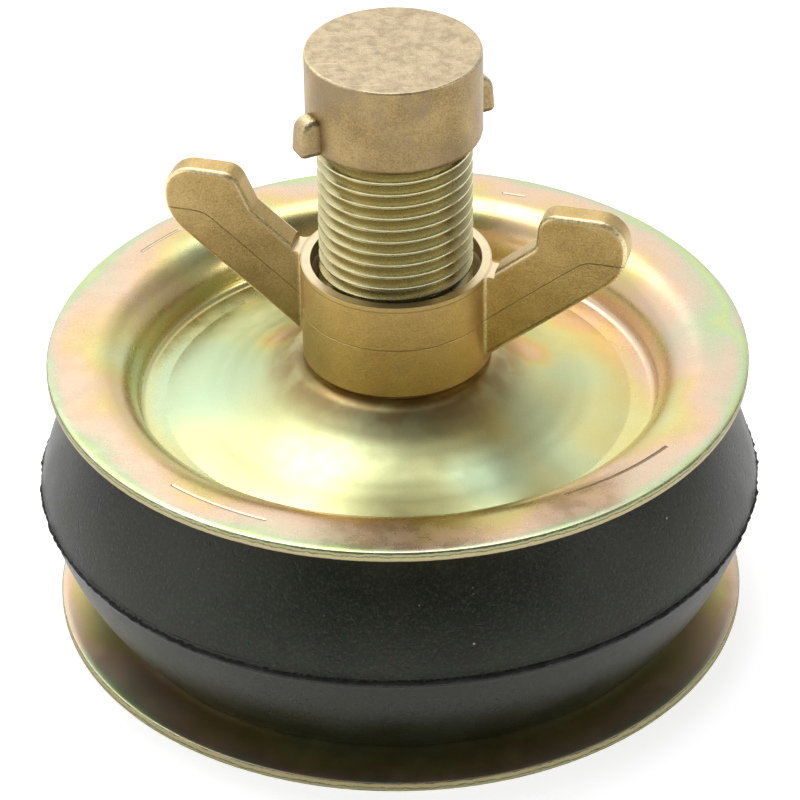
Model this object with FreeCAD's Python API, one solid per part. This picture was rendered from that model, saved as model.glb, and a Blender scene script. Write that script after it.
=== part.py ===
# Expansion plug for a 100 mm pipe. Two dished steel plates squeeze a rubber ring between them, and the
# ring bulges and seals the pipe. A wing nut on a hollow threaded spindle draws the plates together, and
# a screwed cap closes the spindle's upper end.
# Millimetres, +Z up along the spindle, origin on the surface that the lower plate stands on.
import FreeCAD, Part
import math
import os

# Plates, pressed from steel sheet. The faces are the sides that look away from the rubber.
plate_diameter = 96.5
sheet = 1.5
edge_break = 0.3
rim_width = 12.25
well_depth = 7.5
rim_roll_share = 0.82
floor_corner_share = 0.16
floor_ring_width = 3.8
dome_crease = 1.0
dome_shoulder_diameter = 41.0
dome_shoulder_rise = 1.8
dome_sweep = 22.0
hub_margin = 1.0
hub_corner = 3.0
upper_hub_drop = 0.4
lower_hub_recess = 3.0

# Rubber ring, slack between the plates, with the bead where the two halves of its mould met.
plate_gap = 36.3
ring_end_seat = 4.9
ring_bulge = 9.1
ring_flank_sweep = 38.0
ring_end_round = 0.6
bead_reach = 0.25
bead_height = 0.5

# Spindle: a tube with a half-inch pipe thread outside, a collar above the lower plate and a lip below.
thread_diameter = 20.955
thread_pitch = 1.814
spindle_bore = 15.0
spindle_top = 82.0
spindle_chamfer = 0.8
bore_chamfer = 0.5
collar_step = 2.5
collar_thickness = 3.0
collar_chamfer = 0.5
spigot_diameter = 19.2
lip_step = 2.6
lip_thickness = 1.5
lip_round = 0.9
base_washer_thickness = 1.5

# Wing nut, cast, with a bored and faced boss. Its two ears were dressed by hand and lean differently.
boss_diameter = 26.0
boss_height = 15.0
boss_foot_chamfer = 0.8
counterbore_diameter = 23.4
counterbore_depth = 2.2
facing_diameter = 28.8
facing_allowance = 3.0
wing_seat = 1.5
wing_thickness = 4.0
wing_edge_round = 0.8
wing_root_round = 1.0
wing_direction = -15.9
wing_reach = 32.3
wing_slope = 39.6
wing_root_height = 2.0
ear_width = 12.5
ear_side = 7.8
ear_step = 5.25
ear_toe_share = 0.87
ear_tip_share = 0.52
ear_heel_round = 2.6
right_heel_lean = 0.5
left_heel_lean = 2.4
neck_round = 1.6

# Cap, cast, with two grip lugs, and the sealing washer in its roof.
cap_diameter = 23.7
cap_height = 12.6
cap_roof = 2.5
cap_top_break = 0.35
cap_foot_round = 1.0
cap_mouth_chamfer = 0.6
cap_washer_thickness = 1.5
cap_washer_play = 0.2
lug_direction = 26.0
lug_reach = 2.6
lug_height = 5.4
lug_foot_width = 4.0
lug_top_width = 3.2
lug_taper = 0.25
lug_shoulder_round = 2.0
lug_foot_round = 0.7
lug_side_round = 1.0
lug_foot_height = 0.3
lug_seat = 1.5

# Clearances: on the radius for round fits, across the gap for the ring against the wells.
thread_clearance = 0.05
plate_clearance = 0.3
spigot_clearance = 0.05
ring_clearance = 0.3

# The nut is drawn down by whole turns from the slack position that is modelled.
nut_turns = 5.0

# Places that follow from the sizes.
Vector = FreeCAD.Vector
UP = Vector(0, 0, 1)
ORIGIN = Vector(0, 0, 0)
thread_radius = thread_diameter / 2
collar_radius = thread_radius + collar_step
hub_radius = collar_radius + hub_margin
spigot_radius = spigot_diameter / 2
bore_radius = spindle_bore / 2
boss_radius = boss_diameter / 2
wing_rise = math.tan(math.radians(wing_slope))
wing_height = wing_root_height + (wing_reach - boss_radius) * wing_rise + ear_side
ear_heel = wing_reach - ear_width
arm_top_height = wing_height - ear_step - (ear_heel - boss_radius) * wing_rise
cap_radius = cap_diameter / 2
well_radius = plate_diameter / 2 - rim_width
rim_roll = well_depth * rim_roll_share
floor_corner = well_depth * floor_corner_share
ring_end_radius = well_radius + ring_end_seat
upper_face = sheet + plate_gap + sheet
lower_hub_inner = lower_hub_recess + sheet
collar_bottom = lower_hub_inner + base_washer_thickness
nut_bottom = upper_face - upper_hub_drop
roof_underside = spindle_top + cap_washer_thickness
cap_top = roof_underside + cap_roof
cap_bottom = cap_top - cap_height


def intersection(p, u, q, v):
    """The point where the line through p along u meets the line through q along v, in the section plane."""
    cross = u[0] * v[1] - u[1] * v[0]
    along = ((q[0] - p[0]) * v[1] - (q[1] - p[1]) * v[0]) / cross
    return p[0] + along * u[0], p[1] + along * u[1]


def heading(start, end):
    """The unit direction from one section point to the next."""
    length = math.hypot(end[0] - start[0], end[1] - start[1])
    return (end[0] - start[0]) / length, (end[1] - start[1]) / length


def bend(before, corner, after):
    """The signed turn at a corner of an outline: positive to the left."""
    u = heading(before, corner)
    v = heading(corner, after)
    return math.atan2(u[0] * v[1] - u[1] * v[0], u[0] * v[0] + u[1] * v[1])


def rounded_edges(corners, closed, place):
    """Edges through (x, y, radius) corners, each corner rounded by a tangent arc of its radius.

    place turns a section point into a point in space. An open outline keeps its two ends."""
    count = len(corners)
    joints = []
    for index, (x, y, radius) in enumerate(corners):
        at_end = not closed and index in (0, count - 1)
        if at_end or radius == 0:
            joints.append(((x, y), None, (x, y)))
            continue
        before = corners[index - 1][:2]
        after = corners[(index + 1) % count][:2]
        u = heading(before, (x, y))
        v = heading((x, y), after)
        turn = bend(before, (x, y), after)
        setback = radius * math.tan(abs(turn) / 2)
        start = (x - u[0] * setback, y - u[1] * setback)
        end = (x + v[0] * setback, y + v[1] * setback)
        bulge = radius / math.cos(turn / 2) - radius
        inward = heading((x, y), ((start[0] + end[0]) / 2, (start[1] + end[1]) / 2))
        joints.append((start, (x + inward[0] * bulge, y + inward[1] * bulge), end))
    edges = []
    for index, (start, middle, end) in enumerate(joints):
        if middle:
            edges.append(Part.Arc(place(start), place(middle), place(end)).toShape())
        if index + 1 < count or closed:
            following = joints[(index + 1) % count][0]
            edges.append(Part.LineSegment(place(end), place(following)).toShape())
    return edges


def in_section(point):
    """A section point (distance from the axis, height) in the XZ plane."""
    return Vector(point[0], 0, point[1])


def turned(corners):
    """A solid of revolution about Z from a closed section of (radius, height, corner radius)."""
    outline = Part.Wire(rounded_edges(corners, True, in_section))
    return Part.Face(outline).revolve(ORIGIN, UP, 360)


def sheet_back(corners, thickness):
    """The other side of a bent sheet: its corners and bend radii, on the left of the given side."""
    points = [corner[:2] for corner in corners]
    directions = [heading(a, b) for a, b in zip(points, points[1:])]
    shifted = [(a[0] - d[1] * thickness, a[1] + d[0] * thickness) for a, d in zip(points, directions)]
    back = [(*shifted[0], 0)]
    for index in range(1, len(points) - 1):
        turn = bend(points[index - 1], points[index], points[index + 1])
        corner = intersection(shifted[index - 1], directions[index - 1], shifted[index], directions[index])
        back.append((*corner, corners[index][2] - math.copysign(thickness, turn)))
    last = directions[-1]
    back.append((points[-1][0] - last[1] * thickness, points[-1][1] + last[0] * thickness, 0))
    return back


def pressed_plate(hub_drop, hole_radius):
    """A dished plate with its face up and its rim's face at height 0, holed for the spindle."""
    dome_edge = well_radius - floor_ring_width
    face = [
        (plate_diameter / 2, 0, 0),
        (well_radius, 0, rim_roll),
        (well_radius, -well_depth, floor_corner),
        (dome_edge, -well_depth, dome_crease),
        (dome_shoulder_diameter / 2, dome_shoulder_rise - well_depth, dome_sweep),
        (hub_radius, -hub_drop, hub_corner),
        (hole_radius, -hub_drop, 0),
    ]
    back = sheet_back(face, sheet)
    edges = rounded_edges(face, False, in_section)
    edges.append(Part.LineSegment(in_section(face[-1][:2]), in_section(back[-1][:2])).toShape())
    edges += rounded_edges(back, False, in_section)
    edges.append(Part.LineSegment(in_section(back[0][:2]), in_section(face[0][:2])).toShape())
    outline = Part.Wire(Part.__sortEdges__(edges))
    plate = Part.Face(outline).revolve(ORIGIN, UP, 360)
    rim_edges = [edge for edge in plate.Edges if is_circle(edge, plate_diameter / 2)]
    return plate.makeFillet(edge_break, rim_edges)


def is_circle(edge, radius):
    """Whether an edge is a full circle about the axis with the given radius."""
    curve = edge.Curve
    return isinstance(curve, Part.Circle) and abs(curve.Radius - radius) < 1e-6 and edge.isClosed()


def top_plate():
    """The plate under the wing nut, with room round the spindle that it slides on."""
    plate = pressed_plate(upper_hub_drop, thread_radius + plate_clearance)
    plate.translate(UP * upper_face)
    return plate


def bottom_plate():
    """The plate that the plug stands on, clamped between the spindle's collar and lip."""
    plate = pressed_plate(lower_hub_recess, spigot_radius + spigot_clearance)
    plate.rotate(ORIGIN, Vector(1, 0, 0), 180)
    return plate


def rubber_ring():
    """The moulded ring: two bulging flanks that meet at the crown, seated in the rolls of both plates."""
    bore = well_radius + sheet + ring_clearance
    seat = rim_roll - sheet - ring_clearance
    seat_centre = well_radius + rim_roll
    end = ring_end_radius
    crown = ring_end_radius + ring_bulge
    middle = plate_gap / 2 + sheet
    seat_height = upper_face - rim_roll - middle
    end_angle = math.acos((seat_centre - end) / seat)
    half_angle = end_angle / 2
    end_height = seat_height + seat * math.sin(end_angle)
    halfway = ((crown + end) / 2, end_height / 2)
    chord = math.hypot(crown - end, end_height)
    swell = ring_flank_sweep - math.sqrt(ring_flank_sweep ** 2 - chord ** 2 / 4)
    bulge = (halfway[0] + swell * end_height / chord, halfway[1] + swell * (crown - end) / chord)
    halfway_seat = (seat_centre - seat * math.cos(half_angle), seat_height + seat * math.sin(half_angle))

    def at(radius, height):
        return Vector(radius, 0, middle + height)

    def half(side):
        return [
            Part.LineSegment(at(bore, 0), at(bore, side * seat_height)).toShape(),
            Part.Arc(at(bore, side * seat_height), at(halfway_seat[0], side * halfway_seat[1]),
                     at(end, side * end_height)).toShape(),
            Part.Arc(at(end, side * end_height), at(bulge[0], side * bulge[1]), at(crown, 0)).toShape(),
        ]

    outline = Part.Wire(Part.__sortEdges__(half(1) + half(-1)))
    ring = Part.Face(outline).revolve(ORIGIN, UP, 360)
    ring = ring.makeFillet(ring_end_round, [edge for edge in ring.Edges if is_circle(edge, end)])
    root = crown - bead_reach
    bead = turned([
        (root, middle - bead_height / 2, 0),
        (crown, middle - bead_height / 2, 0),
        (crown + bead_reach, middle, 0),
        (crown, middle + bead_height / 2, 0),
        (root, middle + bead_height / 2, 0),
    ])
    return ring.fuse(bead)


def spindle():
    """The hollow spindle. Its thread is left plain at the thread's outer diameter."""
    lip_bottom = lower_hub_recess - lip_thickness
    return turned([
        (bore_radius, lip_bottom + bore_chamfer, 0),
        (bore_radius + bore_chamfer, lip_bottom, 0),
        (spigot_radius + lip_step, lip_bottom, lip_round),
        (spigot_radius + lip_step, lower_hub_recess, 0),
        (spigot_radius, lower_hub_recess, 0),
        (spigot_radius, collar_bottom, 0),
        (collar_radius, collar_bottom, 0),
        (collar_radius, collar_bottom + collar_thickness - collar_chamfer, 0),
        (collar_radius - collar_chamfer, collar_bottom + collar_thickness, 0),
        (thread_radius, collar_bottom + collar_thickness, 0),
        (thread_radius, spindle_top - spindle_chamfer, 0),
        (thread_radius - spindle_chamfer, spindle_top, 0),
        (bore_radius + bore_chamfer, spindle_top, 0),
        (bore_radius, spindle_top - bore_chamfer, 0),
    ])


def washer(inner_radius, outer_radius, bottom, thickness):
    """A flat ring lying on the given height."""
    return turned([
        (inner_radius, bottom, 0),
        (outer_radius, bottom, 0),
        (outer_radius, bottom + thickness, 0),
        (inner_radius, bottom + thickness, 0),
    ])


def base_seal_washer():
    """The washer that seals the spindle's collar to the lower plate."""
    inner_radius = spigot_radius + spigot_clearance
    return washer(inner_radius, collar_radius, lower_hub_inner, base_washer_thickness)


def cap_washer():
    """The washer in the cap's roof that closes the spindle's mouth."""
    return washer(0.0, thread_radius - cap_washer_play, spindle_top, cap_washer_thickness)


def wing(heel_lean):
    """One wing along +X: an arm that slopes up from the boss and ends in an upright ear.

    heel_lean is how far the ear's inner side leans outward on its way up."""
    inside = boss_radius - wing_seat
    drop = wing_seat * wing_rise
    corners = [
        (inside, wing_root_height - drop, 0),
        (wing_reach, wing_height - ear_side, ear_side * ear_toe_share),
        (wing_reach, wing_height, ear_side * ear_tip_share),
        (ear_heel + heel_lean, wing_height, ear_heel_round),
        (ear_heel, wing_height - ear_step, neck_round),
        (inside, arm_top_height - drop, 0),
    ]
    half = wing_thickness / 2
    outline = Part.Wire(rounded_edges(corners, True, lambda point: Vector(point[0], half, point[1])))
    blade = Part.Face(outline).extrude(Vector(0, -wing_thickness, 0))
    return blade.makeFillet(wing_edge_round, [edge for edge in blade.Edges if is_wing_rim(edge)])


def is_wing_rim(edge):
    """Whether an edge runs round one of the wing's faces, outside the boss."""
    box = edge.BoundBox
    return box.YLength < 1e-6 and box.XMax > boss_radius


def wing_nut():
    """The cast nut: two wings on a boss that is faced, counterbored and bored."""
    boss = Part.makeCylinder(boss_radius, boss_height + facing_allowance)
    wings = [wing(right_heel_lean), wing(left_heel_lean).rotate(ORIGIN, UP, 180)]
    casting = boss.fuse(wings).removeSplitter().Solids[0]
    casting = casting.makeFillet(wing_root_round, [edge for edge in casting.Edges if is_wing_root(edge)])
    facing = Part.makeCylinder(facing_diameter / 2, wing_height, Vector(0, 0, boss_height))
    thread_hole = thread_radius + thread_clearance
    mouth = counterbore_diameter / 2
    shelf = boss_height - counterbore_depth
    bore = turned([
        (0, 0, 0),
        (thread_hole, 0, 0),
        (thread_hole, shelf - (mouth - thread_hole), 0),
        (mouth, shelf, 0),
        (mouth, boss_height, 0),
        (0, boss_height, 0),
    ])
    nut = casting.cut([facing, bore])
    foot = [edge for edge in nut.Edges if is_circle(edge, boss_radius) and edge.BoundBox.ZMax < 1e-6]
    nut = nut.makeChamfer(boss_foot_chamfer, foot)
    nut.rotate(ORIGIN, UP, wing_direction)
    nut.translate(UP * nut_bottom)
    return nut


def is_wing_root(edge):
    """Whether an edge belongs to the closed line where a wing meets the side of the boss."""
    span = edge.LastParameter - edge.FirstParameter
    points = [edge.valueAt(edge.FirstParameter + span * part) for part in (0, 0.25, 0.5, 0.75, 1)]
    on_boss = all(abs(math.hypot(point.x, point.y) - boss_radius) < 1e-3 for point in points)
    box = edge.BoundBox
    is_seam = max(abs(box.YMin), abs(box.YMax)) < 1e-6
    return on_boss and not is_seam and not is_circle(edge, boss_radius)


def lug():
    """One grip lug along +X: it tapers upward, and its top is rounded over like a thumb."""
    inside = cap_radius - lug_seat
    side = Part.Wire(rounded_edges([
        (inside, 0, 0),
        (cap_radius + lug_reach, 0, lug_foot_round),
        (cap_radius + lug_reach - lug_taper, lug_height, lug_shoulder_round),
        (inside, lug_height, 0),
    ], True, lambda point: Vector(point[0], -lug_foot_width, point[1])))
    slab = Part.Face(side).extrude(Vector(0, 2 * lug_foot_width, 0))
    foot = lug_foot_width / 2
    top = lug_top_width / 2
    front = [(-foot, 0), (foot, 0), (top, lug_height), (-top, lug_height), (-foot, 0)]
    taper = Part.Face(Part.makePolygon([Vector(0, y, z) for y, z in front]))
    body = slab.common(taper.extrude(Vector(2 * cap_radius, 0, 0)))
    body = body.makeFillet(lug_side_round, [edge for edge in body.Edges if is_lug_side(edge)])
    body.translate(UP * lug_foot_height)
    return body


def is_lug_side(edge):
    """Whether an edge runs along one of the lug's two sides, outside the cap."""
    box = edge.BoundBox
    return box.XMax > cap_radius and box.YLength < lug_foot_width / 4


def cap():
    """The cap: a blind threaded cup over the spindle's end, with two lugs for the fingers."""
    cup = turned([
        (0, 0, 0),
        (cap_radius, 0, cap_foot_round),
        (cap_radius, cap_height, cap_top_break),
        (0, cap_height, 0),
    ])
    mouth = thread_radius + thread_clearance
    hollow = turned([
        (0, 0, 0),
        (mouth + cap_mouth_chamfer, 0, 0),
        (mouth, cap_mouth_chamfer, 0),
        (mouth, cap_height - cap_roof, 0),
        (0, cap_height - cap_roof, 0),
    ])
    body = cup.fuse([lug(), lug().rotate(ORIGIN, UP, 180)]).cut(hollow)
    body.rotate(ORIGIN, UP, lug_direction)
    body.translate(UP * cap_bottom)
    return body


def write(name, shape):
    """Write one piece to its own file."""
    print(f"{name}: volume {shape.Volume:.1f}, valid {shape.isValid()}, solids {len(shape.Solids)}")
    shape.exportStep(os.path.join("parts", name + ".step"))


PIECES = {
    "bottom_plate": bottom_plate,
    "top_plate": top_plate,
    "rubber_ring": rubber_ring,
    "spindle": spindle,
    "base_seal_washer": base_seal_washer,
    "wing_nut": wing_nut,
    "cap": cap,
    "cap_washer": cap_washer,
}

os.makedirs("parts", exist_ok=True)
for piece_name, make_piece in PIECES.items():
    write(piece_name, make_piece())
print(f"nut travel {nut_turns * thread_pitch:.3f} in {nut_turns:.1f} turns")
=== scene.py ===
import math
import bpy
import bmesh
from mathutils import Matrix, Vector, noise


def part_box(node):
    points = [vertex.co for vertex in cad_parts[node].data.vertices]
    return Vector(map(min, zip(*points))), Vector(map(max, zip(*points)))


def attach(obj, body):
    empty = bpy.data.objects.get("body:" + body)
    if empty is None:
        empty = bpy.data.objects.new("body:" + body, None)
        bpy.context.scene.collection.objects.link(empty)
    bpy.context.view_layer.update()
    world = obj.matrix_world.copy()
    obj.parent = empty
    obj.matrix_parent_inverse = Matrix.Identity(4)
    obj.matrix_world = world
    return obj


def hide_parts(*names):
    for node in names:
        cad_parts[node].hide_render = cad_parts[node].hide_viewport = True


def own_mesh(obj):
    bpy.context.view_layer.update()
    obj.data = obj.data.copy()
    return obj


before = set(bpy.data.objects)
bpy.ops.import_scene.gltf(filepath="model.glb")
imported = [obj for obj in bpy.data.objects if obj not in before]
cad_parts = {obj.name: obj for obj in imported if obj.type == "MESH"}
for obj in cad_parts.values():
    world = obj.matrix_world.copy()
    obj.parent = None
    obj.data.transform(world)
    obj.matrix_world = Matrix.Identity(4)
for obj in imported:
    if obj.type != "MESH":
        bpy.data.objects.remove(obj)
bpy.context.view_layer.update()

# Lower plate. A disc of 1.5 mm steel, pressed into a dish with a rolled shoulder and a shallow dome, then
# zinc plated and passivated. It stands on its rim, cup downwards, and takes the load of the rubber ring.
mm = 0.001
sheet = 1.5 * mm
plate_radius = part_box("top_plate")[1].x
upper_face = 39.3 * mm
well_radius = 36 * mm
well_depth = 7.5 * mm
rim_roll = 6.15 * mm
floor_corner = 1.2 * mm
dome_edge = 32.2 * mm
dome_crease = 1 * mm
dome_shoulder = 20.5 * mm
dome_rise = 1.8 * mm
dome_sweep = 22 * mm
hub_radius = 14 * mm
hub_corner = 3 * mm
edge_break = 0.3 * mm
lower_hub_recess = 3 * mm
lower_hole = 9.65 * mm
plate_turns = 240
run_length = 1.1 * mm
touch = 0.001 * mm
rim_corner = math.radians(60)


def lay_section(section, points):
    """Lays a chain of edges through (radius, height) points in the XZ plane and gives its vertices."""
    chain = [section.verts.new((radius, 0, height)) for radius, height in points]
    for start, end in zip(chain, chain[1:]):
        section.edges.new((start, end))
    return chain


def round_corner(section, corner, radius, facet=math.radians(7)):
    """Rounds one corner of a section with an arc that is tangent to both of its sides."""
    before, after = (edge.other_vert(corner).co - corner.co for edge in corner.link_edges)
    turn = math.pi - before.angle(after)
    bmesh.ops.bevel(section, geom=[corner], offset=radius * math.tan(turn / 2), offset_type="OFFSET",
                    segments=max(3, round(turn / facet)), profile=0.5, affect="VERTICES", material=-1)


def divide_runs(section, spacing):
    """Divides the long straight runs, so that a smooth surface shades evenly."""
    for edge in list(section.edges):
        cuts = int(edge.calc_length() / spacing)
        if cuts:
            bmesh.ops.subdivide_edges(section, edges=[edge], cuts=cuts)


def turn_section(section, steps, lift=0.0):
    """Turns a section once about Z. A lift makes it a screw that rises by that much in the turn."""
    bmesh.ops.spin(section, geom=section.verts[:] + section.edges[:], cent=(0, 0, 0), axis=(0, 0, 1),
                   dvec=(0, 0, lift / steps), angle=math.tau, steps=steps, use_merge=lift == 0)


def make_piece(name, shape, material, body, crisp=math.radians(40)):
    """Makes the finished piece from its bmesh: smooth, but crisp where faces meet at more than an angle."""
    shape.normal_update()
    for face in shape.faces:
        face.smooth = True
    for edge in shape.edges:
        edge.smooth = edge.calc_face_angle(0) < crisp
    mesh = bpy.data.meshes.new(name)
    shape.to_mesh(mesh)
    shape.free()
    piece = bpy.data.objects.new(name, mesh)
    bpy.context.scene.collection.objects.link(piece)
    mesh.materials.append(material)
    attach(piece, body)
    return piece


def press_plate(hub_drop, hole_radius):
    """Presses a plate with its face up and its rim's face at height 0."""
    plate = bmesh.new()
    chain = lay_section(plate, [
        (plate_radius, 0),
        (well_radius, 0),
        (well_radius, -well_depth),
        (dome_edge, -well_depth),
        (dome_shoulder, dome_rise - well_depth),
        (hub_radius, -hub_drop),
        (hole_radius, -hub_drop),
    ])
    bends = [rim_roll, floor_corner, dome_crease, dome_sweep, hub_corner]
    for corner, radius in zip(chain[1:-1], bends):
        round_corner(plate, corner, radius)
    divide_runs(plate, run_length)
    turn_section(plate, plate_turns)
    bmesh.ops.recalc_face_normals(plate, faces=plate.faces[:])
    plate.faces.ensure_lookup_table()
    if plate.faces[0].normal.z < 0:
        bmesh.ops.reverse_faces(plate, faces=plate.faces[:])
    bmesh.ops.solidify(plate, geom=plate.faces[:], thickness=sheet)
    rim = [edge for edge in plate.edges if is_rim_edge(edge)]
    bmesh.ops.bevel(plate, geom=rim, offset=edge_break, offset_type="OFFSET", segments=3, profile=0.5,
                    affect="EDGES", material=-1)
    return plate


def is_rim_edge(edge):
    """Whether an edge runs along one of the two corners of the plate's sheared rim."""
    radii = [vert.co.xy.length for vert in edge.verts]
    level = abs(edge.verts[0].co.z - edge.verts[1].co.z) < touch
    return level and min(radii) > plate_radius - touch and edge.calc_face_angle(0) > rim_corner


def shade(tree, kind, inputs=None, **settings):
    """A shader node with its settings made, and its sockets given values or joined to other sockets."""
    made = tree.nodes.new("ShaderNode" + kind)
    for name, value in settings.items():
        setattr(made, name, value)
    for name, value in (inputs or {}).items():
        socket = made.inputs[name]
        if isinstance(value, bpy.types.NodeSocket):
            tree.links.new(value, socket)
        else:
            socket.default_value = value
    return made


def reckon(tree, operation, *values):
    """The result of a Math node."""
    inputs = dict(enumerate(values))
    return shade(tree, "Math", inputs, operation=operation).outputs[0]


def off_level(tree, value, level):
    """How far a value is from a level, either way."""
    return reckon(tree, "ABSOLUTE", reckon(tree, "SUBTRACT", value, level))


def ease(tree, value, start, end, low=0.0, high=1.0):
    """A value's smooth passage from low to high as it goes from start to end."""
    inputs = {"Value": value, "From Min": start, "From Max": end, "To Min": low, "To Max": high}
    return shade(tree, "MapRange", inputs, interpolation_type="SMOOTHSTEP").outputs["Result"]


def tint(tree, factor, first, second, blend="MIX"):
    """Two colours mixed."""
    inputs = {0: factor, 6: first, 7: second}
    return shade(tree, "Mix", inputs, data_type="RGBA", blend_type=blend).outputs[2]


def clouds(tree, place, per_mm, detail=3.0, roughness=0.5, distortion=0.0):
    """Noise at a place in millimetres, with that many clouds to a millimetre."""
    inputs = {"Vector": place, "Scale": per_mm, "Detail": detail, "Roughness": roughness,
              "Distortion": distortion}
    return shade(tree, "TexNoise", inputs).outputs["Fac"]


def colour_scale(tree, factor, stops):
    """A colour ramp through (position, colour) stops."""
    ramp = shade(tree, "ValToRGB", {"Fac": factor})
    band = ramp.color_ramp
    band.interpolation = "B_SPLINE"
    while len(band.elements) < len(stops):
        band.elements.new(0.5)
    for element, (position, colour) in zip(band.elements, stops):
        element.position = position
        element.color = (*colour, 1)
    return ramp.outputs["Color"]


def start_group(name, inputs, outputs):
    """An empty node group with named sockets. Gives the group, its input node and its output node."""
    group = bpy.data.node_groups.new(name, "ShaderNodeTree")
    for direction, sockets in (("INPUT", inputs), ("OUTPUT", outputs)):
        for socket, kind in sockets.items():
            group.interface.new_socket(socket, in_out=direction, socket_type="NodeSocket" + kind)
    return group, group.nodes.new("NodeGroupInput").outputs, group.nodes.new("NodeGroupOutput").inputs


def start_finish(name):
    """A new material: its tree, its Principled BSDF, and the place on the piece in millimetres."""
    material = bpy.data.materials.new(name)
    material.use_nodes = True
    tree = material.node_tree
    coordinates = shade(tree, "TexCoord").outputs["Object"]
    place = shade(tree, "Mapping", {"Vector": coordinates, "Scale": (1000, 1000, 1000)}).outputs[0]
    return material, tree, tree.nodes["Principled BSDF"], place


def lay_finish(tree, surface, colour, roughness, height, metallic=1.0):
    """Joins a finish to its surface. Its height is in millimetres."""
    bump = shade(tree, "Bump", {"Height": height, "Strength": 1.0, "Distance": mm}).outputs[0]
    tree.links.new(colour, surface.inputs["Base Color"])
    tree.links.new(roughness, surface.inputs["Roughness"])
    tree.links.new(bump, surface.inputs["Normal"])
    surface.inputs["Metallic"].default_value = metallic


def use_group(tree, group, **inputs):
    """A group placed in a material, with its inputs set. Gives its outputs."""
    made = shade(tree, "Group", node_tree=group)
    for name, value in inputs.items():
        socket = made.inputs[name.replace("_", " ")]
        if isinstance(value, bpy.types.NodeSocket):
            tree.links.new(value, socket)
        else:
            socket.default_value = value
    return made.outputs


def round_place():
    """Node group: the distance from the spindle's axis, the angle round it and the height."""
    group, given, result = start_group("round_place", {"Place": "Vector"},
                                       {"Radius": "Float", "Angle": "Float", "Height": "Float"})
    parts = shade(group, "SeparateXYZ", {0: given["Place"]}).outputs
    squares = [reckon(group, "POWER", parts[axis], 2) for axis in "XY"]
    group.links.new(reckon(group, "SQRT", reckon(group, "ADD", *squares)), result["Radius"])
    group.links.new(reckon(group, "ARCTAN2", parts["Y"], parts["X"]), result["Angle"])
    group.links.new(parts["Z"], result["Height"])
    return group


def zinc_film():
    """Node group: the passivated film on zinc, whose colour cycles as the film thickens in soft patches."""
    group, given, result = start_group(
        "zinc_film",
        {"Place": "Vector", "Thickness": "Float", "Unevenness": "Float", "Patch": "Float"},
        {"Color": "Color", "Roughness": "Float", "Grain": "Float"})
    patches = clouds(group, given["Place"], given["Patch"], detail=1.5, roughness=0.4, distortion=0.3)
    streaks = clouds(group, given["Place"], 0.35, detail=4, roughness=0.6)
    swing = reckon(group, "MULTIPLY", reckon(group, "SUBTRACT", patches, 0.5), given["Unevenness"])
    small = reckon(group, "MULTIPLY", reckon(group, "SUBTRACT", streaks, 0.5), 0.03)
    thickness = reckon(group, "ADD", reckon(group, "ADD", given["Thickness"], swing), small)
    film = colour_scale(group, reckon(group, "PINGPONG", thickness, 1.0), [
        (0.00, (0.40, 0.58, 0.42)),
        (0.14, (0.54, 0.66, 0.42)),
        (0.28, (0.64, 0.66, 0.34)),
        (0.40, (0.68, 0.60, 0.23)),
        (0.50, (0.70, 0.53, 0.24)),
        (0.63, (0.75, 0.53, 0.39)),
        (0.77, (0.66, 0.54, 0.40)),
        (0.90, (0.46, 0.60, 0.38)),
        (1.00, (0.57, 0.64, 0.27)),
    ])
    fine = clouds(group, given["Place"], 5.0, detail=3, roughness=0.65)
    toned = tint(group, ease(group, fine, 0.3, 0.7, 0.14, 0.0), film, (0.30, 0.25, 0.12, 1))
    spots = clouds(group, given["Place"], 1.7, detail=3, roughness=0.7)
    dulled = tint(group, ease(group, spots, 0.6, 0.85, 0, 0.16), toned, (0.36, 0.30, 0.17, 1))
    group.links.new(dulled, result["Color"])
    group.links.new(ease(group, streaks, 0.3, 0.75, 0.24, 0.32), result["Roughness"])
    coarse = clouds(group, given["Place"], 0.9, detail=2, roughness=0.5)
    rolled = reckon(group, "MULTIPLY", coarse, 0.25)
    group.links.new(reckon(group, "ADD", reckon(group, "MULTIPLY", fine, 0.2), rolled), result["Grain"])
    return group


ROUND_PLACE = round_place()
ZINC_FILM = zinc_film()


def film_thickness(tree, place, radius, patches):
    """How thick the film is: thinnest on the dome, thicker along the rim, and different in the patches."""
    thickness = reckon(tree, "ADD", ease(tree, radius, 32.5, 36.5, 0.30, 0.44),
                       ease(tree, radius, 39, 46, -0.03, 0.2))
    thickness = reckon(tree, "ADD", thickness, ease(tree, radius, 45.5, 48.4, 0, 0.28))
    flat_place = shade(tree, "Mapping", {"Vector": place, "Scale": (1, 1, 0)}).outputs[0]
    for x, y, reach, extra in patches:
        to_patch = {0: flat_place, 1: (x, y, 0)}
        away = shade(tree, "VectorMath", to_patch, operation="DISTANCE").outputs["Value"]
        thickness = reckon(tree, "ADD", thickness, ease(tree, away, 0.2 * reach, reach, extra, 0))
    return thickness


def sheared_steel(tree, below_face, worn):
    """The colour of the rim's edge: olive where it was sheared, brown where it broke, with dark tears."""
    torn = reckon(tree, "ADD", below_face, ease(tree, worn, 0.3, 0.7, -0.15, 0.15))
    steel = tint(tree, ease(tree, torn, 0.6, 0.75), (0.36, 0.37, 0.20, 1), (0.44, 0.38, 0.21, 1))
    for tear in (0.14, 0.66, 1.45):
        dark = ease(tree, off_level(tree, torn, tear), 0.04, 0.13, 0.75, 0)
        steel = tint(tree, dark, steel, (0.10, 0.085, 0.045, 1))
    return steel


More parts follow.
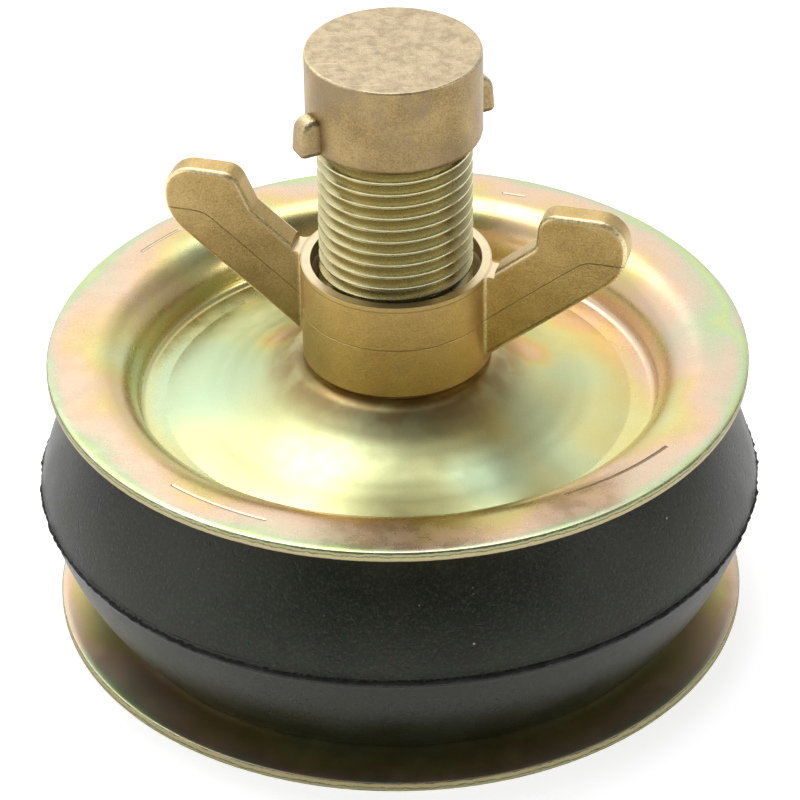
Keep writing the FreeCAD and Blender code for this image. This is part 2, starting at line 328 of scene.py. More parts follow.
def stamp_bar(tree, around, centre, half_length, at_radius, drift):
    """How deep one stamped bar is pressed, from 0 to 1. Its radius drifts with the angle."""
    along = reckon(tree, "SUBTRACT", around["Angle"], math.radians(centre))
    across = reckon(tree, "SUBTRACT", reckon(tree, "SUBTRACT", around["Radius"], at_radius),
                    reckon(tree, "MULTIPLY", along, drift))
    past_end = reckon(tree, "SUBTRACT", reckon(tree, "ABSOLUTE", along), math.radians(half_length))
    beyond = reckon(tree, "MULTIPLY", reckon(tree, "MAXIMUM", past_end, 0), at_radius)
    squares = [reckon(tree, "POWER", part, 2) for part in (across, beyond)]
    away = reckon(tree, "SQRT", reckon(tree, "ADD", *squares))
    return ease(tree, away, 0.06, 0.3, 1, 0)


def passivated_zinc(name, film_place, face_height, dullness, bars=(), patches=()):
    """The finish of a pressed plate whose face is at a height in millimetres.

    bars are (centre, half length in degrees, radius, drift, painted lightness) stampings, with painted shade
    in the groove at 0 and a painted highlight at 1. patches are places where the film is thicker or thinner,
    as (x, y, reach, thickness)."""
    material, tree, surface, place = start_finish(name)
    around = use_group(tree, ROUND_PLACE, Place=place)
    radius = around["Radius"]
    moved = shade(tree, "Mapping", {"Vector": place, "Location": film_place}).outputs[0]
    film = use_group(tree, ZINC_FILM, Place=moved, Thickness=film_thickness(tree, place, radius, patches),
                     Unevenness=ease(tree, radius, 33, 38, 0.25, 0.75), Patch=0.07)
    # Brown round the hub in clouds: partly a stain, partly a painted reflection of the brass nut at its
    # foot.
    stain = reckon(tree, "MULTIPLY", ease(tree, radius, 14.5, 20, 0.85, 0),
                   ease(tree, clouds(tree, place, 0.25, detail=4), 0.3, 0.6, 0.6, 1))
    colour = tint(tree, stain, film["Color"], (0.30, 0.19, 0.075, 1))
    sheared = ease(tree, radius, 48.1, 48.2)
    worn = clouds(tree, place, 0.7, detail=5, roughness=0.7)
    below_face = off_level(tree, around["Height"], face_height)
    colour = tint(tree, sheared, colour, sheared_steel(tree, below_face, worn))
    # A pale line along the rim's top corner: partly a worn burr, partly a painted highlight.
    burr = reckon(tree, "MULTIPLY", ease(tree, radius, 47.98, 48.06), ease(tree, radius, 48.1, 48.16, 1, 0))
    burr_wear_and_highlight = reckon(tree, "MULTIPLY", burr, ease(tree, worn, 0.45, 0.62, 0.0, 0.7))
    colour = tint(tree, burr_wear_and_highlight, colour, (0.90, 0.86, 0.68, 1))
    depth = 0.0
    # Each bar's groove is coloured between painted shade and a painted highlight by its lightness.
    for *bar, painted_lightness in bars:
        pressed = stamp_bar(tree, around, *bar)
        depth = reckon(tree, "ADD", depth, pressed)
        shown = tint(tree, painted_lightness, (0.20, 0.14, 0.06, 1), (0.95, 0.88, 0.66, 1))
        colour = tint(tree, reckon(tree, "MULTIPLY", pressed, 0.8), colour, shown)
    ruffled = ease(tree, radius, 33, 38, 0.012, 0.022)
    height = reckon(tree, "SUBTRACT", reckon(tree, "MULTIPLY", film["Grain"], ruffled),
                    reckon(tree, "MULTIPLY", depth, 0.12))
    dulled = reckon(tree, "ADD", film["Roughness"], ease(tree, radius, 28, 33, 0.1 + dullness, dullness))
    rough = reckon(tree, "ADD", dulled, reckon(tree, "MULTIPLY", sheared, 0.2))
    lay_finish(tree, surface, colour, rough, height)
    return material


olive_patches = [
    (0, -46, 34, -0.2),
    (30, -30, 20, -0.1),
    (-44, -6, 22, -0.16),
    (44, -6, 22, -0.16),
]
lower_plate_finish = passivated_zinc("passivated_zinc_lower", (40, 15, 0), 0, 0.12, patches=olive_patches)
lower_plate_shape = press_plate(lower_hub_recess, lower_hole)
bmesh.ops.rotate(lower_plate_shape, verts=lower_plate_shape.verts[:], cent=(0, 0, 0),
                 matrix=Matrix.Rotation(math.pi, 3, "X"))
lower_plate = make_piece("lower_plate_pressing", lower_plate_shape, lower_plate_finish, "base")
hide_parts("bottom_plate")

# Spindle. Steel tube with a half-inch pipe thread cut along its outside, a collar above the lower plate
# and a lip spun over below it. The thread is right-handed, 14 to the inch, zinc plated like the plates.
thread_pitch = 1.814 * mm
thread_radius = 10.4775 * mm
thread_round = 0.137329 * thread_pitch
thread_flank = math.radians(55)
sharp_height = thread_pitch / 2 / math.tan(thread_flank / 2)
sharp_crest = thread_radius + sharp_height / 6
thread_root = sharp_crest - sharp_height * 5 / 6
spindle_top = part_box("spindle")[1].z
spindle_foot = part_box("spindle")[0].z
bore_radius = 7.5 * mm
bore_chamfer = 0.5 * mm
collar_top = 9 * mm
collar_bottom = 6 * mm
collar_radius = 12.9775 * mm
collar_chamfer = 0.5 * mm
spigot_radius = 9.6 * mm
lip_radius = 12.2 * mm
lip_round = 0.9 * mm
thread_steps = 96
thread_offset = 0.78 * thread_pitch
thread_weld = 0.01 * mm
cut_weld = 0.0001 * mm
top_land = 0.3 * mm
collar_land = 0.6 * mm


def cut_thread():
    """The threaded outside of the spindle, from the collar up to its chamfered end."""
    thread = bmesh.new()
    pitches = int((spindle_top - collar_top) / thread_pitch) + 4
    start = collar_top - 2 * thread_pitch + thread_offset
    points = []
    for turn in range(pitches):
        points.append((sharp_crest, start + turn * thread_pitch))
        points.append((sharp_crest - sharp_height, start + (turn + 0.5) * thread_pitch))
    points.append((sharp_crest, start + pitches * thread_pitch))
    chain = lay_section(thread, points)
    for corner in chain[1:-1]:
        round_corner(thread, corner, thread_round, facet=math.radians(25))
    turn_section(thread, thread_steps, lift=thread_pitch)
    bmesh.ops.remove_doubles(thread, verts=thread.verts[:], dist=thread_weld)
    for height, direction in ((spindle_top, 1), (collar_top, -1)):
        bmesh.ops.bisect_plane(thread, geom=thread.verts[:] + thread.edges[:] + thread.faces[:],
                               plane_co=(0, 0, height), plane_no=(0, 0, direction), clear_outer=True)
    chamfer = thread_radius - thread_root
    for vert in thread.verts:
        radius = vert.co.xy.length
        limit = thread_root + min(chamfer, spindle_top - vert.co.z)
        if vert.co.z > spindle_top - cut_weld or vert.co.z < collar_top + cut_weld:
            limit = thread_root
            radius = max(radius, limit)
        if radius > limit or limit == thread_root:
            vert.co.xy *= limit / vert.co.xy.length
    return thread


def is_mouth(edge, height):
    """Whether an open edge lies at the given height."""
    return edge.is_boundary and all(abs(vert.co.z - height) < touch for vert in edge.verts)


def make_spindle():
    """The threaded outside, closed with the bored tube, the collar and the spun lip."""
    spindle = cut_thread()
    chain = lay_section(spindle, [
        (thread_root - top_land, spindle_top),
        (bore_radius + bore_chamfer, spindle_top),
        (bore_radius, spindle_top - bore_chamfer),
        (bore_radius, spindle_foot + bore_chamfer),
        (bore_radius + bore_chamfer, spindle_foot),
        (lip_radius, spindle_foot),
        (lip_radius, lower_hub_recess),
        (spigot_radius, lower_hub_recess),
        (spigot_radius, collar_bottom),
        (collar_radius, collar_bottom),
        (collar_radius, collar_top - collar_chamfer),
        (collar_radius - collar_chamfer, collar_top),
        (thread_root + collar_land, collar_top),
    ])
    round_corner(spindle, chain[5], lip_round)
    tube = [part for part in spindle.verts[:] + spindle.edges[:] if part.is_wire]
    bmesh.ops.spin(spindle, geom=tube, cent=(0, 0, 0), axis=(0, 0, 1), angle=math.tau, steps=thread_steps,
                   use_merge=True)
    for height in (spindle_top, collar_top):
        mouths = [edge for edge in spindle.edges if is_mouth(edge, height)]
        bmesh.ops.bridge_loops(spindle, edges=mouths)
    bmesh.ops.recalc_face_normals(spindle, faces=spindle.faces[:])
    return spindle


def zinc_thread():
    """The thread's finish: the plates' film, with painted shade in the roots and a painted highlight, partly
    wear, along the crests.
    """
    material, tree, surface, place = start_finish("zinc_thread")
    around = use_group(tree, ROUND_PLACE, Place=place)
    film = use_group(tree, ZINC_FILM, Place=place, Thickness=0.3, Unevenness=0.4, Patch=0.1)
    crest = ease(tree, around["Radius"], 9.7, 10.4)
    ridge = ease(tree, around["Radius"], 10.34, 10.46)
    wear = clouds(tree, place, 0.8, detail=4, roughness=0.6)
    # Painted shade: the roots are darker and browner than the flanks.
    shaded_root = tint(tree, 0.8, film["Color"], (0.34, 0.275, 0.15, 1))
    flank = tint(tree, 0.7, film["Color"], (0.52, 0.455, 0.26, 1))
    colour = tint(tree, crest, shaded_root, flank)
    # Painted highlight along the crests, partly wear as well.
    crest_wear_and_highlight = reckon(tree, "MULTIPLY", ridge, ease(tree, wear, 0.35, 0.65, 0.05, 0.5))
    colour = tint(tree, crest_wear_and_highlight, colour, (0.74, 0.74, 0.54, 1))
    height = reckon(tree, "MULTIPLY", film["Grain"], 0.03)
    lay_finish(tree, surface, colour, ease(tree, wear, 0.2, 0.8, 0.22, 0.32), height)
    return material


thread_finish = zinc_thread()
spindle = make_piece("threaded_spindle", make_spindle(), thread_finish, "base")
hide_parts("spindle")

# Base seal washer. A ring of red vulcanised fibre, cut from sheet, that the collar squeezes on the lower
# plate so that water can't leave round the spindle's foot.


def fibre_sheet():
    """Pressed fibre: brick red, matt, with short pale fibres."""
    material, tree, surface, place = start_finish("vulcanised_fibre")
    fibres = clouds(tree, place, 3.0, detail=5, roughness=0.7, distortion=1.5)
    colour = tint(tree, fibres, (0.26, 0.045, 0.03, 1), (0.42, 0.11, 0.07, 1))
    bump = shade(tree, "Bump", {"Height": fibres, "Strength": 0.4, "Distance": 0.05 * mm}).outputs[0]
    tree.links.new(colour, surface.inputs["Base Color"])
    tree.links.new(bump, surface.inputs["Normal"])
    surface.inputs["Roughness"].default_value = 0.75
    return material


def dress_node(node, material):
    """Gives a CAD node its finish."""
    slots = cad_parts[node].data.materials
    slots.clear()
    slots.append(material)


dress_node("base_seal_washer", fibre_sheet())

# Rubber ring. Moulded in black rubber in a mould of two halves, which met at the crown and left a thin,
# torn flash there. Its inner bore is plain, and both ends sit in the rolled shoulders of the plates.
ring_bore = 37.8 * mm
ring_middle = upper_face / 2
seat_radius = rim_roll - sheet - 0.3 * mm
seat_centre = (well_radius + rim_roll, upper_face - rim_roll - ring_middle)
ring_end_radius = 40.9 * mm
ring_crown = 50 * mm
flank_sweep = 38 * mm
flash_reach = 0.25 * mm
flash_width = 0.42 * mm
flash_dip = 0.1 * mm
seat_steps = 10
flank_steps = 26
ring_steps = 600


def arc_points(centre, start, end, steps):
    """Points along an arc about a centre, from one section point towards another."""
    first = math.atan2(start[1] - centre[1], start[0] - centre[0])
    last = math.atan2(end[1] - centre[1], end[0] - centre[0])
    radius = math.dist(centre, start)
    angles = [first + (last - first) * step / steps for step in range(steps + 1)]
    return [(centre[0] + radius * math.cos(angle), centre[1] + radius * math.sin(angle)) for angle in angles]


def flank_centre(start, end):
    """The centre of the flank's arc of radius flank_sweep from the ring's end to its crown."""
    chord = Vector(end) - Vector(start)
    halfway = (Vector(start) + Vector(end)) / 2
    inward = Vector((chord.y, -chord.x)).normalized()
    return halfway + inward * math.sqrt(flank_sweep ** 2 - (chord.length / 2) ** 2)


def mould_ring():
    """The ring's skin, with the flash line raised and torn where the halves of the mould met."""
    ring = bmesh.new()
    end_angle = math.acos((seat_centre[0] - ring_end_radius) / seat_radius)
    end = (ring_end_radius, seat_centre[1] + seat_radius * math.sin(end_angle))
    seat = arc_points(seat_centre, (ring_bore, seat_centre[1]), end, seat_steps)
    flank = arc_points(flank_centre(end, (ring_crown, 0)), end, (ring_crown, 0), flank_steps)
    upper = seat + flank[1:-1]
    lower = [(radius, -height) for radius, height in reversed(upper)]
    lip = [(ring_crown, flash_width * share) for share in (0.9, 0.5, 0.2, 0, -0.2, -0.5, -0.9)]
    points = [(radius, ring_middle + height) for radius, height in upper + lip + lower]
    chain = lay_section(ring, points)
    ring.edges.new((chain[-1], chain[0]))
    turn_section(ring, ring_steps)
    bmesh.ops.recalc_face_normals(ring, faces=ring.faces[:])
    for vert in ring.verts:
        tear_flash(vert)
    return ring


def tear_flash(vert):
    """Raises the flash at the crown, with a ragged edge that wanders a little up and down."""
    off_middle = abs(vert.co.z - ring_middle)
    if off_middle > flash_width or vert.co.xy.length < ring_crown - flash_dip:
        return
    around = Vector((vert.co.x, vert.co.y, 0)) / mm
    rag = noise.fractal(around * 0.9, 0.8, 2.3, 4)
    torn = noise.noise(around * 0.23 + Vector((7, 3, 1)))
    thickness = 1 - (off_middle / flash_width) ** 2
    reach = flash_reach * (0.9 + 1.1 * rag + 0.7 * torn) * thickness
    wander = 0.16 * mm * noise.noise(around * 0.35) + 0.1 * mm * noise.noise(around * 1.3)
    vert.co.xy *= 1 + max(reach, -flash_dip) / vert.co.xy.length
    vert.co.z += wander


def moulded_rubber():
    """Black rubber with a fine grain, a soft bloom and pale dust, with painted shade along the flash."""
    material, tree, surface, place = start_finish("moulded_rubber")
    around = use_group(tree, ROUND_PLACE, Place=place)
    bloom = clouds(tree, place, 0.09, detail=4, roughness=0.6)
    colour = tint(tree, ease(tree, bloom, 0.35, 0.7), (0.0085, 0.0105, 0.0040, 1),
                  (0.0175, 0.0205, 0.0095, 1))
    fine = clouds(tree, place, 2.4, detail=5, roughness=0.7)
    colour = tint(tree, ease(tree, fine, 0.46, 0.72, 0, 0.8), colour, (0.040, 0.043, 0.030, 1))
    # Painted shade: a ragged black band along the flash line.
    line = off_level(tree, around["Height"], ring_middle / mm)
    torn = clouds(tree, place, 1.6, detail=4, roughness=0.7)
    width = ease(tree, torn, 0.35, 0.7, 0.25, 0.6)
    flash = reckon(tree, "LESS_THAN", line, width)
    colour = tint(tree, reckon(tree, "MULTIPLY", flash, 0.95), colour, (0.001, 0.001, 0.001, 1))
    dots = shade(tree, "TexVoronoi", {"Vector": place, "Scale": 0.42, "Randomness": 1.0})
    chosen = shade(tree, "SeparateColor", {0: dots.outputs["Color"]}).outputs
    size = ease(tree, chosen["Red"], 0.6, 1.0, 0.0, 0.075)
    speck = reckon(tree, "LESS_THAN", dots.outputs["Distance"], size)
    shown = reckon(tree, "MULTIPLY", speck, ease(tree, chosen["Green"], 0.2, 1, 0.15, 0.75))
    colour = tint(tree, shown, colour, (0.42, 0.43, 0.36, 1))
    pits = ease(tree, clouds(tree, place, 1.1, detail=2), 0.3, 0.4)
    height = reckon(tree, "ADD", reckon(tree, "MULTIPLY", fine, 0.06), reckon(tree, "MULTIPLY", pits, 0.03))
    crease = ease(tree, off_level(tree, line, 0.55), 0.05, 0.3, 0.16, 0)
    rough = reckon(tree, "ADD", ease(tree, bloom, 0.3, 0.75, 0.30, 0.42),
                   reckon(tree, "MULTIPLY", flash, 0.4))
    lay_finish(tree, surface, colour, rough, reckon(tree, "SUBTRACT", height, crease), metallic=0.0)
    surface.inputs["Specular IOR Level"].default_value = 0.3
    return material


ring = make_piece("moulded_ring", mould_ring(), moulded_rubber(), "base")
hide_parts("rubber_ring")
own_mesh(ring)

# Upper plate. The same pressing as the lower plate, cup upwards, with its hub pressed flatter for the nut
# to bear on and a plain hole that slides on the thread. Bars are stamped between the places for words.
upper_hub_drop = 0.4 * mm
upper_hole = 10.7775 * mm
# The last column of each bar is its painted lightness: 1 paints a highlight along the groove, 0 paints shade
# in it.
stamped_bars = [
    (-123.0, 9.6, 43.95, 0.3, 1.0),
    (-47.0, 11.8, 42.5, 4.3, 0.0),
    (139.4, 4.9, 44.6, 0.5, 0.8),
    (66.8, 2.0, 43.8, -4.0, 0.6),
]
film_patches = [
    (-28, 4, 18, -0.16),
    (-15, 9, 6, 0.34),
    (17.5, 5, 6, 0.36),
    (25, 19, 7, 0.3),
    (25, 3, 8, -0.16),
    (12, -22, 8, -0.14),
    (22, -17, 6, -0.06),
    (29, -12, 9, 0.09),
    (10, -14, 8, 0.14),
    (43, 8, 26, 0.3),
]
upper_plate_finish = passivated_zinc("passivated_zinc_upper", (-12, 31, 0), upper_face / mm, 0,
                                     stamped_bars, film_patches)
upper_plate_shape = press_plate(upper_hub_drop, upper_hole)
bmesh.ops.translate(upper_plate_shape, verts=upper_plate_shape.verts[:], vec=(0, 0, upper_face))
upper_plate = make_piece("upper_plate_pressing", upper_plate_shape, upper_plate_finish, "upper_plate")
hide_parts("top_plate")

# Wing nut. Cast in brass in a mould parted along the wings, then shot-blasted. The boss was bored, faced
# and counterbored afterwards, so its top is pale and bright, and the facing took a step out of each arm.
wing_direction = -15.9
nut_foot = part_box("wing_nut")[0].z / mm
boss_radius = 13.0
boss_height = 15.0
facing_radius = 14.4
parting_height = 8.2
arm_rise = 0.827
ear_parting_height = 19.4


def cast_brass_group():
    """Node group: a shot-blasted casting, finely speckled, with its edges brighter from wear and a painted
    highlight.
    """
    group, given, result = start_group(
        "cast_brass",
        {"Place": "Vector", "Dark": "Color", "Light": "Color", "Rubbed": "Color", "Edge": "Float"},
        {"Color": "Color", "Roughness": "Float", "Grain": "Float"})
    mottle = clouds(group, given["Place"], 0.18, detail=4, roughness=0.6)
    speckle = clouds(group, given["Place"], 3.6, detail=3, roughness=0.7)
    blend = reckon(group, "ADD", reckon(group, "MULTIPLY", mottle, 0.4),
                   reckon(group, "MULTIPLY", speckle, 0.6))
    colour = tint(group, ease(group, blend, 0.25, 0.75), given["Dark"], given["Light"])
    pits = ease(group, clouds(group, given["Place"], 1.5, detail=2), 0.25, 0.31, 0.4, 0)
    colour = tint(group, pits, colour, given["Dark"])
    # Edges brighter: partly wear, partly a painted highlight.
    worn = reckon(group, "MULTIPLY", given["Edge"], ease(group, speckle, 0.3, 0.6, 0.4, 1))
    group.links.new(tint(group, worn, colour, given["Rubbed"]), result["Color"])
    group.links.new(ease(group, speckle, 0.2, 0.8, 0.34, 0.48), result["Roughness"])
    group.links.new(reckon(group, "ADD", speckle, reckon(group, "MULTIPLY", mottle, 1.5)), result["Grain"])
    return group


CAST_BRASS = cast_brass_group()


def mix_values(tree, factor, first, second):
    """Two values mixed."""
    return shade(tree, "Mix", {0: factor, 2: first, 3: second}, data_type="FLOAT").outputs[0]


def edge_highlight_mask(tree, facing, low, high):
    """How far a surface faces between two directions, as only a rounded edge does. A painted highlight goes
    there.
    """
    steepness = reckon(tree, "ABSOLUTE", facing)
    return reckon(tree, "MULTIPLY", ease(tree, steepness, low, low + 0.2),
                  ease(tree, steepness, high - 0.1, high, 1, 0))


def parting_line(tree, place, along, radius):
    """The mould's parting line: level round the boss, up along the arms and across the ears."""
    reach = reckon(tree, "SUBTRACT", reckon(tree, "ABSOLUTE", along["X"]), boss_radius)
    path = reckon(tree, "ADD", reckon(tree, "MAXIMUM", reckon(tree, "MULTIPLY", reach, arm_rise), 0),
                  parting_height)
    path = shade(tree, "Math", {0: path, 1: ear_parting_height, 2: 2.0}, operation="SMOOTH_MIN").outputs[0]
    wobble = reckon(tree, "MULTIPLY", reckon(tree, "SUBTRACT", clouds(tree, place, 0.5), 0.5), 0.5)
    off_line = off_level(tree, reckon(tree, "ADD", along["Z"], wobble), path)
    outside = ease(tree, radius, boss_radius - 0.6, boss_radius - 0.3)
    return reckon(tree, "MULTIPLY", ease(tree, off_line, 0.02, 0.12, 1, 0), outside)


def wing_nut_brass():
    """The nut's finish: cast all over, pale where it was faced and bored, with the mould's parting line."""
    material, tree, surface, place = start_finish("cast_brass")
    turn = (0, 0, math.radians(-wing_direction))
    to_nut = {"Vector": place, "Rotation": turn, "Location": (0, 0, -nut_foot)}
    local = shade(tree, "Mapping", to_nut).outputs[0]
    along = shade(tree, "SeparateXYZ", {0: local}).outputs
    radius = use_group(tree, ROUND_PLACE, Place=local)["Radius"]
    outward = shade(tree, "TexCoord").outputs["Normal"]
    normal = shade(tree, "Mapping", {"Vector": outward, "Rotation": turn}).outputs[0]
    facing = shade(tree, "SeparateXYZ", {0: normal}).outputs
    # Rounded edges and the root fillets of the arms get a painted highlight, with some wear, by the way they
    # face.
    off_boss = ease(tree, radius, boss_radius + 0.02, boss_radius + 0.2)
    edge = reckon(tree, "MULTIPLY", off_boss, edge_highlight_mask(tree, facing["Y"], 0.12, 0.95))
    brass = use_group(tree, CAST_BRASS, Place=place, Dark=(0.36, 0.245, 0.085, 1),
                      Light=(0.68, 0.50, 0.225, 1), Rubbed=(1.0, 0.84, 0.50, 1),
                      Edge=reckon(tree, "MULTIPLY", edge, 0.9))
    line = parting_line(tree, place, along, radius)
    colour = tint(tree, reckon(tree, "MULTIPLY", line, 0.5), brass["Color"], (0.09, 0.055, 0.015, 1))
    near_boss = ease(tree, radius, boss_radius + 0.1, boss_radius + 0.3, 1, 0)
    colour = tint(tree, reckon(tree, "MULTIPLY", near_boss, 0.25), colour, (0.82, 0.62, 0.28, 1))
    below_top = reckon(tree, "SUBTRACT", boss_height, along["Z"])
    turned_band = reckon(tree, "MULTIPLY", near_boss, ease(tree, below_top, 0.5, 0.7, 1, 0))
    colour = tint(tree, reckon(tree, "MULTIPLY", turned_band, 0.5), colour, (0.62, 0.49, 0.24, 1))
    step_line = reckon(tree, "MULTIPLY", near_boss, reckon(tree, "COMPARE", below_top, 0.75, 0.1))
    colour = tint(tree, reckon(tree, "MULTIPLY", step_line, 0.4), colour, (0.14, 0.09, 0.03, 1))
    # Painted shade: a dark line on the chamfer at the boss's foot.
    foot_shade = reckon(tree, "MULTIPLY", near_boss, reckon(tree, "COMPARE", along["Z"], 0.72, 0.14))
    colour = tint(tree, reckon(tree, "MULTIPLY", foot_shade, 0.6), colour, (0.12, 0.08, 0.025, 1))
    # Painted highlight: a bright line along the lowest edge of the boss.
    toe_highlight = reckon(tree, "MULTIPLY", near_boss, ease(tree, along["Z"], 0.3, 0.45, 1, 0))
    colour = tint(tree, reckon(tree, "MULTIPLY", toe_highlight, 0.6), colour, (0.90, 0.72, 0.38, 1))
    on_top = ease(tree, below_top, 0.02, 0.06, 1, 0)
    faced = reckon(tree, "MULTIPLY", on_top, ease(tree, radius, facing_radius - 0.1, facing_radius, 1, 0))
    bored = ease(tree, radius, boss_radius - 0.9, boss_radius - 0.7, 1, 0)
    machined = reckon(tree, "MAXIMUM", faced, bored)
    rings = shade(tree, "Math", {0: reckon(tree, "MULTIPLY", radius, 22)}, operation="SINE").outputs[0]
    smeared = clouds(tree, place, 0.4, detail=3)
    pale = tint(tree, smeared, (0.62, 0.50, 0.31, 1), (0.80, 0.69, 0.47, 1))
    colour = tint(tree, machined, colour, pale)
    rim = reckon(tree, "MULTIPLY", reckon(tree, "MULTIPLY", faced, near_boss),
                 ease(tree, radius, boss_radius - 0.3, boss_radius - 0.1))
    colour = tint(tree, reckon(tree, "MULTIPLY", rim, 0.5), colour, (0.45, 0.32, 0.16, 1))
    rough = mix_values(tree, machined, brass["Roughness"], 0.33)
    cast_height = reckon(tree, "SUBTRACT", reckon(tree, "MULTIPLY", brass["Grain"], 0.06),
                         reckon(tree, "MULTIPLY", line, 0.05))
    turned_height = reckon(tree, "MULTIPLY", rings, 0.003)
    lay_finish(tree, surface, colour, rough, mix_values(tree, machined, cast_height, turned_height))
    return material


dress_node("wing_nut", wing_nut_brass())

# Cap washer. A disc of plain black rubber, cut from sheet and pressed into the roof of the cap. It closes
# the mouth of the spindle when the cap is screwed down.


def washer_rubber():
    """Cut rubber sheet, smooth and dark."""
    material, tree, surface, place = start_finish("washer_rubber")
    grain = clouds(tree, place, 2.0, detail=4, roughness=0.6)
    bump = shade(tree, "Bump", {"Height": grain, "Strength": 0.3, "Distance": 0.1 * mm}).outputs[0]
    colour = tint(tree, grain, (0.012, 0.012, 0.012, 1), (0.03, 0.03, 0.028, 1))
    tree.links.new(colour, surface.inputs["Base Color"])
    tree.links.new(bump, surface.inputs["Normal"])
    surface.inputs["Roughness"].default_value = 0.6
    return material


dress_node("cap_washer", washer_rubber())

# Cap. Cast in a browner brass than the nut, with two lugs for the fingers, and shot-blasted. Its flat top
# is brushed by handling, and the edge round the top is rubbed bright.
cap_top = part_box("cap")[1].z / mm
cap_radius = 11.85
lug_top_depth = 6.9


def cap_brass():
    """The cap's finish: brown brass, paler and scratched on top, and bright on the edge round it."""
    material, tree, surface, place = start_finish("cap_brass")
    around = use_group(tree, ROUND_PLACE, Place=place)
    radius = around["Radius"]
    below_top = reckon(tree, "SUBTRACT", cap_top, around["Height"])
    near_edge = reckon(tree, "MULTIPLY", ease(tree, below_top, 0.14, 0.26, 1, 0),
                       ease(tree, radius, cap_radius - 0.32, cap_radius - 0.2))
    lug_top = reckon(tree, "MULTIPLY", ease(tree, radius, cap_radius + 0.2, cap_radius + 0.6),
                     ease(tree, below_top, lug_top_depth, lug_top_depth + 1.6, 0.7, 0.12))
    edge = reckon(tree, "MAXIMUM", near_edge, lug_top)
    brass = use_group(tree, CAST_BRASS, Place=place, Dark=(0.19, 0.13, 0.052, 1),
                      Light=(0.51, 0.375, 0.18, 1), Rubbed=(0.84, 0.72, 0.46, 1), Edge=edge)
    stain = ease(tree, clouds(tree, place, 0.16, detail=4, roughness=0.65), 0.42, 0.66, 0, 0.6)
    colour = tint(tree, stain, brass["Color"], (0.25, 0.19, 0.12, 1))
    on_top = ease(tree, below_top, 0.01, 0.05, 1, 0)
    flecks = clouds(tree, place, 0.6, detail=7, roughness=0.75)
    top = tint(tree, ease(tree, flecks, 0.3, 0.65), (0.33, 0.26, 0.165, 1), (0.55, 0.45, 0.295, 1))
    along_scratches = {"Vector": place, "Rotation": (0, 0, 0.6), "Scale": (0.12, 2.6, 1)}
    stretched = shade(tree, "Mapping", along_scratches).outputs[0]
    scratched = clouds(tree, stretched, 1.0, detail=3, roughness=0.6)
    top = tint(tree, ease(tree, scratched, 0.62, 0.7, 0, 0.5), top, (0.86, 0.76, 0.58, 1))
    colour = tint(tree, reckon(tree, "MULTIPLY", on_top, 0.85), colour, top)
    height = reckon(tree, "MULTIPLY", brass["Grain"], 0.055)
    lay_finish(tree, surface, colour, brass["Roughness"], height)
    return material


dress_node("cap", cap_brass())

# Studio. A pale floor in a white room that is dim overhead on the near side and towards the back right. A
# soft lamp hangs high behind and a little to the left, with a wide glow round it. A weak one stands at the
# left, and a small one at the right draws bright streaks down the thread.


def seen_directly(tree):
    """1 for rays that come from the camera, a mirror or glass, else 0."""
    path = shade(tree, "LightPath").outputs
    mirrored = reckon(tree, "MAXIMUM", path["Is Glossy Ray"], path["Is Transmission Ray"])
    return reckon(tree, "MAXIMUM", path["Is Camera Ray"], mirrored)


def white_room():
    """The world: white where it is seen and softer as a light.

    In the metal's reflections it is white behind and at the left, and dim elsewhere, overhead on the near
    side and high at the back right."""
    world = bpy.data.worlds.new("white_room")
    bpy.context.scene.world = world
    world.use_nodes = True
    tree = world.node_tree
    background = tree.nodes["Background"]
    background.inputs["Color"].default_value = (1, 1, 1, 1)
    direction = shade(tree, "TexCoord").outputs["Generated"]
    ahead, above, corner = (
        shade(tree, "VectorMath", {0: direction, 1: side}, operation="DOT_PRODUCT").outputs["Value"]
        for side in (bright_side, dim_side, dim_corner))
    walls = ease(tree, ahead, -0.2, 0.55, 0.4, 1.0)
    ceiling = ease(tree, above, math.cos(dim_edge), math.cos(dim_core), 1, 0.3)
    shaded = ease(tree, corner, math.cos(corner_edge), math.cos(corner_core), 1, 0.5)
    room = reckon(tree, "MULTIPLY", reckon(tree, "MULTIPLY", walls, ceiling), shaded)
    path = shade(tree, "LightPath").outputs
    white = ease(tree, seen_directly(tree), 0, 1, 0.6, 1.0)
    strength = mix_values(tree, path["Is Glossy Ray"], white, room)
    tree.links.new(strength, background.inputs["Strength"])


def pale_floor():
    """The floor: near white, lifted to white where the light falls freely."""
    floor = bmesh.new()
    bmesh.ops.create_grid(floor, x_segments=1, y_segments=1, size=floor_reach)
    mesh = bpy.data.meshes.new("floor")
    floor.to_mesh(mesh)
    floor.free()
    ground = bpy.data.objects.new("floor", mesh)
    bpy.context.scene.collection.objects.link(ground)
    material = bpy.data.materials.new("pale_floor")
    material.use_nodes = True
    tree = material.node_tree
    surface = tree.nodes["Principled BSDF"]
    surface.inputs["Base Color"].default_value = (0.8, 0.8, 0.8, 1)
    surface.inputs["Roughness"].default_value = 0.9
    surface.inputs["Emission Color"].default_value = (1, 1, 1, 1)
    tree.links.new(ease(tree, seen_directly(tree), 0, 1, 0, 0.55), surface.inputs["Emission Strength"])
    mesh.materials.append(material)


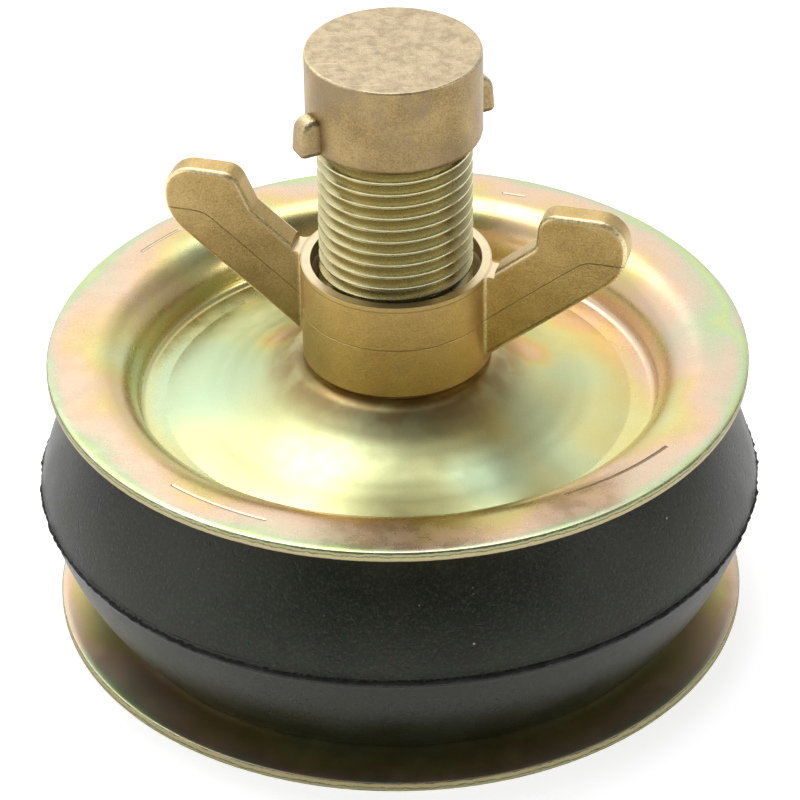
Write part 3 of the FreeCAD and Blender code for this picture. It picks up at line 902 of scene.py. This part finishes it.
def hang_lamp(name, direction, half_angle, radiance):
    """A round soft lamp in a direction from the object, turned to face it."""
    lamp = bpy.data.lights.new(name, "AREA")
    lamp.shape = "DISK"
    radius = lamp_distance * math.tan(half_angle)
    lamp.size = 2 * radius
    lamp.energy = radiance * math.pi * math.pi * radius ** 2
    holder = bpy.data.objects.new(name, lamp)
    bpy.context.scene.collection.objects.link(holder)
    towards = Vector(direction).normalized()
    holder.location = towards * lamp_distance
    holder.rotation_euler = towards.to_track_quat("Z", "Y").to_euler()


lamp_distance = 1.3
floor_reach = 3
bright_side = Vector((-0.45, 0.85, 0.27)).normalized()
dim_side = Vector((0.1, -0.6, 0.8)).normalized()
dim_core = math.radians(32)
dim_edge = math.radians(48)
dim_corner = Vector((0.4, 0.35, 0.85)).normalized()
corner_core = math.radians(24)
corner_edge = math.radians(37)
white_room()
pale_floor()
hang_lamp("key_core", (-0.15, 0.37, 0.92), math.radians(22), 2.9)
hang_lamp("key_glow", (-0.24, 0.66, 0.74), math.radians(35), 0.25)
hang_lamp("left_fill", (-0.85, -0.35, 0.3), math.radians(20), 1.2)
hang_lamp("right_softbox", (0.9, -0.35, 0.33), math.radians(7), 6.0)

# Camera. At the photograph's place: about 34 degrees above the floor and a little over half a metre away,
# with a long lens. Its middle, roll and focal length come from the outlines of the plates.
camera_height_angle = math.radians(33.927)
camera_distance = 569.3 * mm
camera_target = Vector((0, 0, 29.7 * mm))
camera_roll = math.radians(-0.828)
picture_width = 800
focal_pixels = 4097.7
centre_offset = (-1.776, 5.134)

camera = bpy.data.cameras.new("camera")
camera.sensor_width = 36
camera.lens = focal_pixels / picture_width * camera.sensor_width
camera.shift_x = -centre_offset[0] / picture_width
camera.shift_y = centre_offset[1] / picture_width
backward = Vector((0, -math.cos(camera_height_angle), math.sin(camera_height_angle)))
level_right = Vector((1, 0, 0))
level_up = backward.cross(level_right)
right = level_right * math.cos(camera_roll) + level_up * math.sin(camera_roll)
up = level_up * math.cos(camera_roll) - level_right * math.sin(camera_roll)
view = bpy.data.objects.new("camera", camera)
view.matrix_world = Matrix.Translation(camera_target + backward * camera_distance) @ Matrix(
    (right, up, backward)).transposed().to_4x4()
bpy.context.scene.collection.objects.link(view)
bpy.context.scene.camera = view
bpy.context.scene.view_settings.view_transform = "Standard"
